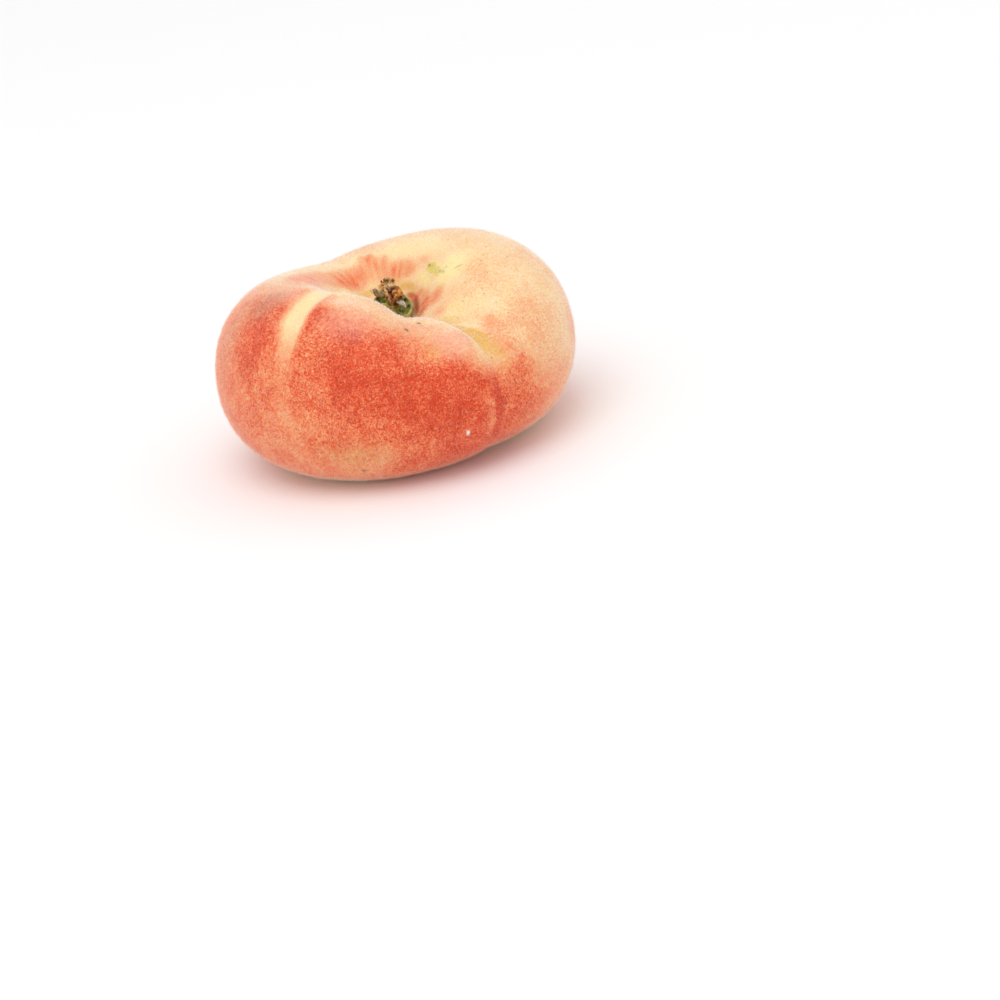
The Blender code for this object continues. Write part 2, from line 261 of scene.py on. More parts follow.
def meridian(along, azimuth):
    """Radius and height in millimetres, without the suture, from the stalk (0) to the blossom end (1)."""
    rim = RIM_HEIGHT
    for centre, rise, left, right, flatness in RIM_SWELLS:
        rim = rim + rise * swell(azimuth, centre, left, right, flatness)
    equator = EQUATOR_RADIUS * (1 + EGG_SHAPE * np.cos(np.radians(azimuth)))
    arch = FOOT_ARCH * (1 - np.cos(FEET * np.radians(azimuth - FOOT_TURN))) / 2

    part = np.clip(along / RIM_AT, 0, 1)
    rise = np.sin(part * np.pi / 2) ** BASIN_STEEPNESS
    basin = RIM_RADIUS * part, BASIN_FLOOR + (rim - BASIN_FLOOR) * rise

    bend = np.clip((along - RIM_AT) / (EQUATOR_AT - RIM_AT), 0, 1) * np.pi / 2
    fullness = SHOULDER_FULLNESS - SLOPE_SLACK * swell(azimuth, SLOPE, SLOPE_WIDTH, SLOPE_WIDTH)
    out = np.sin(bend) ** (2 / fullness)
    up = np.maximum(np.cos(bend), 0) ** (2 / fullness)
    shoulder = RIM_RADIUS + (equator - RIM_RADIUS) * out, EQUATOR_HEIGHT + (rim - EQUATOR_HEIGHT) * up

    bend = np.clip((along - EQUATOR_AT) / (FOOT_AT - EQUATOR_AT), 0, 1) * np.pi / 2
    out = np.maximum(np.cos(bend), 0) ** (2 / UNDERSIDE_FULLNESS)
    down = np.sin(bend) ** (2 / UNDERSIDE_FULLNESS)
    under = FOOT_RADIUS + (equator - FOOT_RADIUS) * out, EQUATOR_HEIGHT * (1 - down) + arch * down

    part = np.clip((1 - along) / (1 - FOOT_AT), 0, 1)
    fall = np.sin(part * np.pi / 2) ** BLOSSOM_STEEPNESS
    blossom = FOOT_RADIUS * part, BLOSSOM_DEPTH * (1 - fall) + arch * fall

    where = [along < RIM_AT, along < EQUATOR_AT, along < FOOT_AT]
    return tuple(np.select(where, [basin[i], shoulder[i], under[i]], blossom[i]) for i in (0, 1))


def skin_points(along, azimuth, raised=0.0):
    """Points of the skin in metres: the meridian, pressed in where the suture runs, raised by relief."""
    radius, height = meridian(along, azimuth)
    ahead = meridian(np.minimum(along + SLOPE_STEP, 1), azimuth)
    behind = meridian(np.maximum(along - SLOPE_STEP, 0), azimuth)
    run_out, run_up = ahead[0] - behind[0], ahead[1] - behind[1]
    length = np.hypot(run_out, run_up)
    past = np.radians(turned(azimuth - SUTURE)) * np.maximum(radius, GROOVE_LEAST_RADIUS)
    width = np.where(past < 0, GROOVE_LEFT, GROOVE_RIGHT)
    depth = np.interp(along, GROOVE_PLACES, GROOVE_DEPTHS)
    depth = depth * np.exp(-((np.abs(past) / width) ** GROOVE_SHARPNESS)) - raised
    radius = radius + depth * run_up / length
    height = np.maximum(height - depth * run_out / length - FOOT_PRESS, 0)
    turn = np.radians(azimuth)
    return np.stack([radius * np.cos(turn), radius * np.sin(turn), height], axis=-1) * MM


# The blush round the fruit: at each azimuth, where along the meridian it starts, is full, begins to fade
# and ends, and how red it is, from 0, cream, to 1, deep red, where it is full and where it fades
BLUSH_ROUND = (
    (-180, 0.2, 0.3, 0.66, 0.8, 0.72, 0.6),
    (-158, 0.2, 0.3, 0.66, 0.8, 0.76, 0.58),
    (-148, 0.24, 0.34, 0.67, 0.8, 0.8, 0.58),
    (-128, 0.265, 0.41, 0.7, 0.82, 0.9, 0.72),
    (-118, 0.26, 0.45, 0.72, 0.82, 0.94, 0.72),
    (-108, 0.31, 0.47, 0.72, 0.82, 0.96, 0.78),
    (-100, 0.36, 0.49, 0.72, 0.82, 0.96, 0.82),
    (-90, 0.41, 0.56, 0.72, 0.82, 0.84, 0.86),
    (-82, 0.42, 0.58, 0.7, 0.8, 0.76, 0.8),
    (-75, 0.42, 0.58, 0.7, 0.8, 0.6, 0.68),
    (-68, 0.43, 0.6, 0.68, 0.78, 0.42, 0.52),
    (-50, 0.42, 0.62, 0.68, 0.78, 0.32, 0.42),
    (-20, 0.36, 0.58, 0.68, 0.8, 0.4, 0.5),
    (15, 0.32, 0.52, 0.68, 0.8, 0.62, 0.62),
    (55, 0.29, 0.46, 0.7, 0.82, 0.8, 0.7),
    (95, 0.28, 0.44, 0.68, 0.8, 0.68, 0.6),
    (130, 0.25, 0.4, 0.66, 0.8, 0.56, 0.58),
    (165, 0.21, 0.33, 0.66, 0.8, 0.64, 0.58),
)
GROUND = 0.10

# Where the skin is redder or paler than that: the azimuth and place of a soft oval, its half sizes in
# degrees and as a share of the meridian, its redness, how well it covers and how soft its edge is
BLUSH_PATCHES = (
    # the near lobe's deepest red, and its paler foot
    (-138, 0.455, 25, 0.07, 0.98, 0.75, 0.9),
    (-112, 0.5, 17, 0.1, 0.98, 0.7, 0.9),
    (-141, 0.61, 23, 0.07, 0.47, 0.75, 0.9),
    (-167, 0.53, 13, 0.08, 0.5, 0.6, 0.9),
    # the suture's dark line and the paler ridge beside it
    (-95.0, 0.575, 2.6, 0.08, 0.62, 0.9, 0.8),
    (-87, 0.6, 4.0, 0.07, 0.72, 0.8, 0.9),
    (-94.5, 0.37, 4.0, 0.08, 0.38, 0.8, 0.9),
    # beside the lip
    (-116, 0.37, 10, 0.07, 0.58, 0.8, 0.9),
    (-109, 0.3, 14, 0.045, 0.34, 0.9, 0.9),
    (-106, 0.365, 10, 0.07, 0.42, 0.9, 0.8),
    (-98, 0.36, 6, 0.06, 0.36, 0.8, 0.9),
    (-97, 0.425, 6, 0.035, 0.46, 0.8, 0.9),
    # the left cheek
    (179, 0.395, 15, 0.095, 0.92, 0.9, 0.9),
    (158, 0.37, 12, 0.15, 0.56, 0.8, 0.9),
    # right of the suture
    (-79, 0.5, 5, 0.055, 0.8, 0.6, 0.9),
    (-82, 0.42, 8, 0.07, 0.46, 0.8, 0.9),
    (-80, 0.35, 9, 0.11, 0.38, 0.85, 0.9),
    (-66, 0.42, 17, 0.14, 0.32, 0.7, 0.9),
    (-73, 0.17, 9, 0.055, 0.24, 0.8, 0.9),
    (-46, 0.28, 26, 0.07, 0.16, 0.8, 0.9),
    (-38, 0.19, 26, 0.06, 0.0, 1.0, 0.8),
    (22, 0.205, 50, 0.055, 0.03, 1.0, 0.7),
    # inside the basin, as strokes that run out from the stub
    (-52, 0.135, 14, 0.045, 0.42, 0.9, 0.9),
    (-45, 0.098, 27, 0.03, 0.54, 1.0, 0.8),
    (-20, 0.096, 14, 0.016, 0.42, 0.8, 0.9),
    (-10, 0.083, 24, 0.012, 0.64, 0.9, 0.7),
    (4, 0.16, 13, 0.014, 0.24, 0.9, 0.9),
    (82, 0.165, 46, 0.055, 0.42, 1.0, 0.8),
    (34, 0.137, 38, 0.036, 0.42, 1.0, 0.9),
    (25, 0.134, 20, 0.02, 0.46, 0.7, 0.9),
    (57, 0.16, 18, 0.045, 0.36, 0.9, 0.9),
    (49, 0.16, 4.2, 0.045, 0.48, 0.9, 0.9),
    (57, 0.168, 4.5, 0.034, 0.64, 1.0, 0.9),
    (60.5, 0.195, 4.5, 0.034, 0.62, 1.0, 0.9),
    (66, 0.205, 4.5, 0.035, 0.42, 0.9, 0.9),
    (84, 0.158, 23, 0.044, 0.64, 1.0, 0.9),
    (82, 0.155, 12, 0.024, 0.7, 0.7, 0.9),
    (113, 0.185, 20, 0.05, 0.36, 1.0, 0.8),
    (143, 0.2, 38, 0.065, 0.6, 0.9, 0.8),
    (104, 0.126, 13, 0.014, 0.02, 0.9, 0.8),
)

# The suture's line of deepest red, partly its own colour and partly painted shade in its crease: azimuth,
# place and half sizes
CREASE = (-92.0, 0.575, 1.7, 0.115)

# Where the skin takes another tint: the tint, then an oval as above with its strength and softness
TINT_PATCHES = (
    ("gold", -82, 0.225, 7, 0.06, 0.8, 0.8),
    ("gold", -88.8, 0.33, 4.8, 0.15, 1.0, 0.6),
    ("gold", -87, 0.42, 5, 0.09, 0.6, 0.9),
    ("gold", -109, 0.375, 6, 0.04, 0.35, 0.9),
    ("gold", 12, 0.1, 38, 0.014, 0.9, 0.8),
    ("gold", 42, 0.11, 18, 0.014, 0.7, 0.9),
    ("gold", 78, 0.112, 20, 0.016, 0.8, 0.9),
    ("lemon", -14, 0.126, 25, 0.02, 1.0, 0.9),
    ("lemon", -37, 0.185, 18, 0.08, 0.9, 0.8),
    ("lemon", 20, 0.2, 60, 0.045, 0.15, 0.9),
    ("lemon", -165, 0.27, 7, 0.12, 0.6, 0.9),
    ("lemon", -18, 0.165, 16, 0.012, 0.6, 0.9),
    ("lemon", -74, 0.23, 13, 0.06, 0.55, 0.9),
    ("olive", 20, 0.0, 1000, 0.07, 0.8, 0.3),
    ("scar", -14, 0.15, 12, 0.014, 1.0, 0.5),
    ("scar", -25, 0.154, 11, 0.014, 0.9, 0.7),
    ("olive", -142, 0.6, 20, 0.06, 0.22, 0.9),
    # painted shadow: the red skin darkened to red-brown in the funnel round the stub, strongest right of the
    # cup
    ("rust", -34, 0.076, 36, 0.014, 1.0, 0.8),
    ("rust", -58, 0.088, 17, 0.018, 0.5, 0.9),
    ("rust", -4, 0.083, 22, 0.009, 0.6, 0.9),
    ("dusk", 160, 0.37, 14, 0.15, 0.35, 0.9),
    ("dusk", 171, 0.3, 17, 0.07, 0.8, 0.9),
    # on the upper left shoulders and the lip: partly the down's pale pink bloom and partly painted sheen
    ("veil", -140, 0.32, 18, 0.07, 0.6, 0.9),
    ("veil", -143, 0.258, 20, 0.03, 0.7, 0.9),
    ("veil", 172, 0.265, 24, 0.05, 0.7, 0.9),
    ("veil", 130, 0.195, 44, 0.065, 0.8, 0.9),
    ("veil", -101, 0.355, 11, 0.1, 0.75, 0.9),
    # painted light: a warm orange brightening low on the near side and the lip, standing in for light thrown
    # up from below
    ("flame", -104, 0.62, 34, 0.13, 0.9, 0.8),
    ("flame", -96, 0.5, 26, 0.06, 0.4, 0.9),
    ("flame", -165, 0.5, 10, 0.06, 0.3, 0.9),
)

# Small dark marks: azimuth, place, half sizes in degrees and share, strength
MARKS = (
    (-115.8, 0.305, 1.3, 0.009, 1.0),
    (-107.3, 0.266, 1.9, 0.008, 1.0),
    (-141.5, 0.648, 1.3, 0.01, 0.7),
    (-35.5, 0.167, 2.2, 0.005, 0.5),
    (-32.5, 0.162, 2.2, 0.005, 0.6),
    (-29.5, 0.158, 2.2, 0.005, 0.5),
    (-33.0, 0.176, 1.8, 0.004, 0.5),
    (-9.0, 0.15, 3.0, 0.004, 0.7),
    (-14.0, 0.157, 4.0, 0.003, 0.5),
    (-41.0, 0.21, 1.2, 0.022, 0.4),
    (-56.0, 0.56, 1.0, 0.008, 0.4),
    (71.0, 0.112, 1.4, 0.007, 0.6),
    (-103.6, 0.6, 1.3, 0.007, 0.5),
)
# A small white nick low on the near lobe: azimuth, place and half sizes
NICK = (-104.3, 0.594, 0.8, 0.009)

# The pale valley down the left shoulder: at places along the meridian, its middle, its half width and
# how clearly it shows
STREAK_PLACES = (0.18, 0.28, 0.34, 0.38, 0.42, 0.48, 0.58, 0.66)
STREAK_MIDDLES = (-166.5, -165.0, -163.9, -163.0, -163.0, -163.6, -164.0, -164.0)
STREAK_WIDTHS = (10.0, 7.6, 6.0, 3.9, 2.6, 3.5, 6.0, 6.0)
STREAK_SHARES = (1.0, 1.0, 1.0, 0.8, 0.38, 0.14, 0.05, 0.0)

# Each tint that lies over the blush: its name, its colour and how well it covers
TINTS = (
    ("gold", "#E4AE4C", 0.9),
    ("lemon", "#F7E79E", 0.8),
    ("olive", "#B3A552", 0.85),
    ("scar", "#D8C84C", 0.9),
    # a pale pink bloom, partly painted sheen
    ("veil", "#FBC8B4", 0.5),
    # painted light: the warm orange brightening low on the fruit
    ("flame", "#F44E18", 0.6),
    ("dusk", "#BA8870", 0.55),
    # painted shadow beside the stub, dark red-brown
    ("rust", "#963400", 0.92),
)

# How the blush and the tints wander off their ovals: the wavelength and seed of two noises, and how
# far they carry, in degrees and as a share of the meridian
BLUSH_NOISES = ((9 * MM, 1), (7 * MM, 2))
BLUSH_WANDER = (3.5, 0.012)
TINT_NOISES = ((5 * MM, 8), (4 * MM, 9))
TINT_WANDER = (1.5, 0.004)
# Inside the basin the blush wanders less, and this share of the wandering is left
BASIN_HOLD = 0.25
# The blush in the basin is drawn out in rays: their spacing in degrees, how quickly they change along
# the meridian and how strong they are
RAY_DEGREES = 3.2
RAY_RUN = 9
RAY_STRENGTH = 0.26
# The redness of the suture's line, partly painted shade in its crease, and of the pale valley, and how
# uneven the redness is elsewhere
CREASE_RED = 1.35
STREAK_RED = 0.03
UNEVEN = 0.05
REDDEST = 1.1
# How soft the small marks are, as shares of their ovals
CREASE_SOFTNESS = 0.7
MARK_SOFTNESS = 0.9
NICK_SOFTNESS = 0.5


def oval(azimuth, along, middle, place, half_turn, half_run, softness):
    """1 in the oval's middle, 0 outside it, with the given share of it as a soft edge."""
    away = np.hypot(turned(azimuth - middle) / half_turn, (along - place) / half_run)
    return 1 - edge(away, 1 - softness, 1)


def pale_streak(azimuth, along):
    """The pale valley down the left shoulder, which narrows and fades as it falls. Its left side is soft."""
    side = turned(azimuth - np.interp(along, STREAK_PLACES, STREAK_MIDDLES))
    width = np.interp(along, STREAK_PLACES, STREAK_WIDTHS)
    left = 1 - edge(-side, 0.35 * width, 1.5 * width)
    right = 1 - edge(side, 0.65 * width, 1.2 * width)
    across = np.where(side < 0, left, right)
    return across * edge(along, 0.10, 0.20) * np.interp(along, STREAK_PLACES, STREAK_SHARES)


def blush_ring(azimuth, along):
    """The redness of the band of blush that runs round the fruit."""
    table = np.array(BLUSH_ROUND)
    columns = (np.interp(azimuth, table[:, 0], table[:, i], period=360) for i in range(1, 7))
    start, full, fading, end, upper_red, lower_red = columns
    down = np.clip((along - full) / (fading - full), 0, 1)
    redness = upper_red + (lower_red - upper_red) * down
    inside = edge(along, start, full) * (1 - edge(along, fading, end))
    return GROUND + (redness - GROUND) * inside


def blush_over(azimuth, along, points):
    """How red the skin is at each point, from 0 to 1."""
    drift, sway = (smooth_noise(points, *noise) for noise in BLUSH_NOISES)
    loose = BASIN_HOLD + (1 - BASIN_HOLD) * edge(along, 0.16, 0.30)
    moved = azimuth + BLUSH_WANDER[0] * drift * loose
    shifted = along + BLUSH_WANDER[1] * sway * loose
    red = blush_ring(moved, shifted)
    for middle, place, half_turn, half_run, value, strength, softness in BLUSH_PATCHES:
        cover = strength * oval(moved, shifted, middle, place, half_turn, half_run, softness)
        red = red + (value - red) * cover
    rays = RAY_STRENGTH * flat_noise(azimuth / RAY_DEGREES, along * RAY_RUN, 6)
    red = red + rays * edge(red, 0.2, 0.5) * edge(along, 0.05, 0.10) * (1 - edge(along, 0.18, 0.25))
    # the suture's crease is drawn in the deepest red, partly as painted shade
    crease = oval(azimuth, along, *CREASE, CREASE_SOFTNESS)
    red = red + (CREASE_RED - red) * crease
    streak = pale_streak(azimuth + drift, along)
    red = red + (STREAK_RED - red) * streak
    return np.clip(red + UNEVEN * drift + UNEVEN * sway * (1 - streak), 0, REDDEST)


def tint_over(name, azimuth, along, points):
    """How strongly a tint shows at each point."""
    drift, sway = (smooth_noise(points, *noise) for noise in TINT_NOISES)
    moved, shifted = azimuth + TINT_WANDER[0] * drift, along + TINT_WANDER[1] * sway
    total = np.zeros(len(along))
    for tint, middle, place, half_turn, half_run, strength, softness in TINT_PATCHES:
        if tint == name:
            spot = oval(moved, shifted, middle, place, half_turn, half_run, softness)
            total = np.maximum(total, strength * spot)
    return total


# The skin's relief in millimetres: slow waves, each with its height, wavelength and seed, the depth of the
# pale valley, and ripples in the basin with their height and how close they lie
SKIN_WAVES = ((0.10, 9 * MM, 3), (0.04, 3.5 * MM, 4))
VALLEY_DEPTH = 0.35
RIPPLE_HEIGHT = 0.10
RIPPLE_DEGREES = 9
RIPPLE_RUN = 12


def make_skin():
    """The skin: a ball of quads laid on the fruit's form, with its relief and the fields of its colours."""
    bpy.ops.mesh.primitive_uv_sphere_add(segments=SKIN_MERIDIANS, ring_count=SKIN_PARALLELS, radius=1)
    skin = bpy.context.object
    skin.name = skin.data.name = "skin"
    apply_modifier(skin, "SUBSURF", subdivision_type="SIMPLE", levels=2)
    ball = get_points(skin.data)
    along = np.arctan2(np.hypot(ball[:, 0], ball[:, 1]), ball[:, 2]) / np.pi
    turn = np.radians(turned(np.degrees(np.arctan2(ball[:, 1], ball[:, 0])) - SUTURE))
    azimuth = turned(SUTURE + np.degrees(turn - CROWDING * np.sin(turn)))
    points = skin_points(along, azimuth)
    streak = pale_streak(azimuth, along)
    relief = sum(height * smooth_noise(points, wave, seed) for height, wave, seed in SKIN_WAVES)
    relief -= VALLEY_DEPTH * streak
    ripples = RIPPLE_HEIGHT * flat_noise(azimuth / RIPPLE_DEGREES, along * RIPPLE_RUN, 5)
    relief += ripples * (1 - edge(along, 0.10, 0.18)) * edge(along, 0.0, 0.05)
    points = skin_points(along, azimuth, relief * (1 - edge(along, 0.74, 0.78)))
    middle = (points.min(0) + points.max(0)) / 2
    points -= [middle[0], middle[1], 0]
    set_points(skin.data, points)
    bpy.ops.object.shade_smooth()
    store(skin.data, "blush", blush_over(azimuth, along, points))
    for tint, _, _ in TINTS:
        store(skin.data, tint, tint_over(tint, azimuth, along, points))
    marks = [share * oval(azimuth, along, *place, MARK_SOFTNESS) for *place, share in MARKS]
    store(skin.data, "marks", np.max(marks, axis=0))
    store(skin.data, "nick", oval(azimuth, along, *NICK, NICK_SOFTNESS))
    store(skin.data, "freckles", edge(along, 0.15, 0.26) * (1 - streak))
    return skin, Vector((-middle[0], -middle[1], 0))


# The sizes of the skin's patterns. A pixel of the picture is 0.2 mm across. The specks of a real blush
# are about 0.1 mm and its pores about 0.2 mm, too fine to show, so both are drawn coarser
BLOTCH_SIZE = 4.5 * MM
WORM_SIZE = 0.62 * MM
GRAIN_SIZE = 0.27 * MM
DARK_GRAIN_SIZE = 0.42 * MM
FRECKLE_CELL = 0.80 * MM
FRECKLE_STRENGTH = 0.60
# The skin from no blush to the deepest
SKIN_COLOURS = (
    (0.00, "#F9DEAB"),
    (0.12, "#F5C893"),
    (0.25, "#F0AC78"),
    (0.38, "#F0A172"),
    (0.50, "#F08E5D"),
    (0.62, "#ED784B"),
    (0.75, "#E96640"),
    (0.88, "#E45430"),
    (1.00, "#D2401F"),
)


def blotches(add, place):
    """Slow patches, from 0 to 1, in which the skin is redder and its grains are darker.

    Here and below, the four numbers of a MapRange turn the first two values into the last two.
    """
    slow = add("TexNoise", {"Vector": place, "Scale": 1 / BLOTCH_SIZE, "Detail": 2.0})
    return add("MapRange", (slow, 0.38, 0.62, 0.0, 1.0))


def mottled_blush(add, place, blush, outside):
    """The blush broken up as fine mottling, strong where it is red, faint on pale skin and in the basin."""
    worms = add("TexNoise", {"Vector": place, "Scale": 1 / WORM_SIZE, "Detail": 3.0, "Distortion": 0.9})
    grains = add("TexNoise", {"Vector": place, "Scale": 1 / GRAIN_SIZE, "Detail": 1.0})
    both = add("Math", (worms, grains), operation="ADD")
    spread = add("MapRange", (both, 0.7, 1.3, -1.0, 1.0))
    slow = add("MapRange", (blotches(add, place), 0.0, 1.0, -0.22, 0.22))
    uneven = add("Math", (spread, slow), operation="ADD")
    by_blush = add("MapRange", (blush, 0.1, 0.7, 0.12, 0.46))
    by_place = add("MapRange", (outside, 0.0, 1.0, 0.3, 1.0))
    strength = add("Math", (by_blush, by_place), operation="MULTIPLY")
    lift = add("Math", (uneven, strength), operation="MULTIPLY")
    return add("Math", (blush, lift), operation="ADD")


def dark_grains(add, place, blush):
    """Dark grains, thick where the skin is dusky, in blotches where it is red and sparse elsewhere."""
    dusk = add("Attribute", output="Fac", attribute_name="dusk")
    grains = add("TexNoise", {"Vector": place, "Scale": 1 / DARK_GRAIN_SIZE, "Detail": 1.0})
    dark = add("MapRange", (grains, 0.53, 0.66, 0.0, 1.0))
    by_dusk = add("MapRange", (dusk, 0.0, 0.6, 0.10, 0.62))
    by_blush = add("MapRange", (blush, 0.35, 0.8, 0.0, 0.42))
    gathered = add("Math", (blotches(add, place), by_blush), operation="MULTIPLY")
    amount = add("Math", (by_dusk, gathered), operation="ADD")
    return add("Math", (dark, amount), operation="MULTIPLY")


def freckle_cover(add, place, outside):
    """Pores and freckles: round spots of unequal size, one to a cell, and none in many cells."""
    distance = add("TexVoronoi", {"Vector": place, "Scale": 1 / FRECKLE_CELL})
    size = add("SeparateColor", (distance.node.outputs["Color"],))
    reach = add("MapRange", (size, 0.25, 1.0, 0.0, 0.24))
    inside = add("Math", (reach, distance), operation="SUBTRACT")
    shown = add("MapRange", (inside, -0.05, 0.06, 0.0, 1.0))
    faint = add("Math", (shown, FRECKLE_STRENGTH), operation="MULTIPLY")
    return add("Math", (faint, outside), operation="MULTIPLY")


def skin_material():
    """Peach skin, matt and downy: to the eye a cream ground under a red blush laid on as fine mottling."""
    sheen = {"Sheen Weight": 0.45, "Sheen Roughness": 0.35, "Sheen Tint": "#FFF2EA"}
    made, add = new_material("peach_skin", {"Roughness": 0.62, "Specular IOR Level": 0.2, **sheen})
    place = add("TexCoord", output="Object")
    blush = add("Attribute", output="Fac", attribute_name="blush")
    outside = add("Attribute", output="Fac", attribute_name="freckles")
    redness = mottled_blush(add, place, blush, outside)
    colour = add("ValToRGB", (redness,), stops=SKIN_COLOURS)
    colour = layered(
        add,
        colour,
        *TINTS,
        (dark_grains(add, place, blush), layered(add, "#7C5638", (blush, "#96260F"))),
        (freckle_cover(add, place, outside), "#A2683A"),
        ("marks", "#40260A"),
        ("nick", "#FBF4EC"),
    )
    feed(made, "Base Color", colour)
    roughen(made, add, place, size=0.5, detail=2.0, strength=0.3, depth=0.1)
    return made


# The down on the skin, in millimetres. Each hair is a three-sided needle. Real ones are 0.01 to 0.02 mm
# wide and several times as many, too fine to show, so they are drawn wider and fewer
FUZZ_PIECES = 4
FUZZ_HAIRS = 48000
HAIR_SHORTEST = 0.28
HAIR_LONGEST = 0.62
HAIR_WIDTH = 0.032
HAIR_SUNK = 0.03
# The hairs lie in swirls this wide: how far the swirls bend them, how far chance does, how far they
# droop, and how upright they are at least and at most
HAIR_LAY = 1.3
HAIR_SWIRL = 1.5
HAIR_SCATTER = 0.35
HAIR_DROOP = 0.25
HAIR_UPRIGHT = (0.5, 1.1)
# Round the stub the skin is bare out to this radius and above this height, and so are the foot's lowest
# stretch and scabs, which are marks stronger than this
HAIR_FREE = 7.0
HAIR_FREE_ABOVE = 15
BARE_FOOT = 0.6
SCAB = 0.25
# No hair reaches lower than this
HAIR_LOWEST = 0.02
# How strongly each hair glows by itself: painted light that stands in for light coming through it from
# behind
HAIR_GLOW = 0.18
HAIR_COLOURS = ((0.15, "#FFF8F0"), (0.6, "#FCCCB0"), (1.0, "#F8AE8E"))


def needle():
    """One hair, standing on the origin: its points and its triangles."""
    bpy.ops.mesh.primitive_cone_add(vertices=3, radius1=0.5, radius2=0, depth=1, location=(0, 0, 0.5))
    hair = bpy.context.object
    bpy.ops.object.transform_apply(location=True, rotation=True, scale=True)
    hair.data.calc_loop_triangles()
    points, faces = get_points(hair.data), read(hair.data.loop_triangles, "vertices", kind=np.int32)
    bpy.data.objects.remove(hair)
    return points, faces


def unit(rows):
    return rows / np.linalg.norm(rows, axis=1, keepdims=True)


def without_hair(corners, scabs, number):
    """Which triangles bear none of this quarter's hairs."""
    x, y, high = corners.mean(axis=1).T
    quarter = np.floor((np.degrees(np.arctan2(y, x)) + 180) / (360 / FUZZ_PIECES))
    elsewhere = np.minimum(quarter, FUZZ_PIECES - 1) != number
    by_stub = (np.hypot(x, y) < HAIR_FREE * MM) & (high > HAIR_FREE_ABOVE * MM)
    return (high < BARE_FOOT * MM) | by_stub | (scabs.mean(axis=1) > SCAB) | elsewhere


def hair_directions(root, up, dice):
    """Where each hair points, and a direction across it."""
    swirl = np.stack([smooth_noise(root, HAIR_LAY * MM, seed) for seed in (31, 32, 33)], axis=1)
    lean = HAIR_SWIRL * swirl + HAIR_SCATTER * dice.normal(size=up.shape) + [0, 0, -HAIR_DROOP]
    lean -= up * (lean * up).sum(axis=1, keepdims=True)
    away = unit(up * dice.uniform(*HAIR_UPRIGHT, (len(up), 1)) + lean)
    return away, unit(np.cross(away, dice.normal(size=up.shape)))


def make_fuzz(skin, number):
    """A quarter of the down: hairs that lean in small swirls, rooted in the skin."""
    skin.data.calc_loop_triangles()
    points, normals = get_points(skin.data), get_normals(skin.data)
    faces = read(skin.data.loop_triangles, "vertices", kind=np.int32)
    marks, blush = (read(skin.data.attributes[name].data, "value", 1)[:, 0] for name in ("marks", "blush"))
    corners = points[faces]
    across = np.cross(corners[:, 1] - corners[:, 0], corners[:, 2] - corners[:, 0])
    area = np.where(without_hair(corners, marks[faces], number), 0, np.linalg.norm(across, axis=1))
    dice = np.random.RandomState(100 + number)
    chosen = faces[dice.choice(len(faces), FUZZ_HAIRS, p=area / area.sum())]
    share = dice.dirichlet((1, 1, 1), FUZZ_HAIRS)[:, :, None]
    root = (points[chosen] * share).sum(axis=1)
    up = unit((normals[chosen] * share).sum(axis=1))
    away, side = hair_directions(root, up, dice)
    length = dice.uniform(HAIR_SHORTEST, HAIR_LONGEST, (FUZZ_HAIRS, 1)) * MM
    shape, sides = needle()
    width = HAIR_WIDTH * MM
    hairs = (
        (root - up * HAIR_SUNK * MM)[:, None]
        + side[:, None] * shape[None, :, :1] * width
        + np.cross(away, side)[:, None] * shape[None, :, 1:2] * width
        + (away * length)[:, None] * shape[None, :, 2:]
    )
    hairs[:, :, 2] = np.maximum(hairs[:, :, 2], HAIR_LOWEST * MM)
    joined = (np.arange(FUZZ_HAIRS)[:, None, None] * len(shape) + sides[None]).reshape(-1, 3)
    mesh = bpy.data.meshes.new(f"fuzz_{number + 1}")
    mesh.from_pydata(hairs.reshape(-1, 3).tolist(), [], joined.tolist())
    mesh.shade_smooth()
    store(mesh, "blush", np.repeat((blush[chosen] * share[:, :, 0]).sum(axis=1), len(shape)))
    fuzz = bpy.data.objects.new(mesh.name, mesh)
    bpy.context.scene.collection.objects.link(fuzz)
    return fuzz


def fuzz_material():
    """Dry plant hair, silky and see-through: it shows almost white, with some of the blush behind it, and
    glows faintly by itself as painted light.
    """
    constants = {"Roughness": 0.7, "Emission Strength": HAIR_GLOW, "Specular IOR Level": 0.3}
    made, add = new_material("peach_down", constants)
    blush = add("Attribute", output="Fac", attribute_name="blush")
    colour = add("ValToRGB", (blush,), stops=HAIR_COLOURS)
    feed(made, "Base Color", colour)
    # painted light: the hairs glow faintly in their own colour
    feed(made, "Emission Color", colour)
    return made


# The stub's cup, in its own frame and in millimetres: height and radius up its wall, over the rim and
# down to the pith
CUP_SIDES = 48
CUP_WALL = (
    (-1.2, 3.30),
    (0.0, 3.20),
    (1.5, 3.38),
    (3.0, 3.72),
    (4.0, 3.96),
    (4.35, 3.88),
    (4.32, 3.58),
    (3.95, 3.30),
    (3.2, 3.00),
    (2.7, 2.50),
    (2.6, 1.50),
    (2.6, 0.60),
)
CUP_RIBS = 7
CUP_RIB_HEIGHT = 0.16
RIM_WAVE = 0.22
RIM_TEAR = 0.20
RIM_LUMPS = 0.10
BARK_FIBRES = 0.07
# The pith fills the hollow almost to the rim at the left and near side and is open at the right
MOUND_HEIGHT = 1.35
PITH_LUMPS = 0.30
# The heights between which the pith sets in
PITH_HEIGHTS = (1.8, 2.4)
# Pits in the pith: where, how wide and how deep
PITH_PITS = (
    (1.2, 1.4, 0.7, 0.5),
    (2.0, 2.6, 0.5, 0.4),
    (2.7, 1.6, 0.4, 0.35),
    (0.6, 3.0, 0.6, 0.3),
)
# Where the cup's rim stands higher than its wave: azimuth in its own frame, height and half width
RIM_TEETH = ((88, 0.85, 34), (-178, 0.5, 24))
# The stretch of the rim and the pith beside it at the cup's left end, painted almost black as painted shadow
PAINTED_SHADOW_LINE = ((-3.8, -0.9, 4.2), (-3.1, -2.1, 4.0))
PAINTED_SHADOW_REACH = 1.1

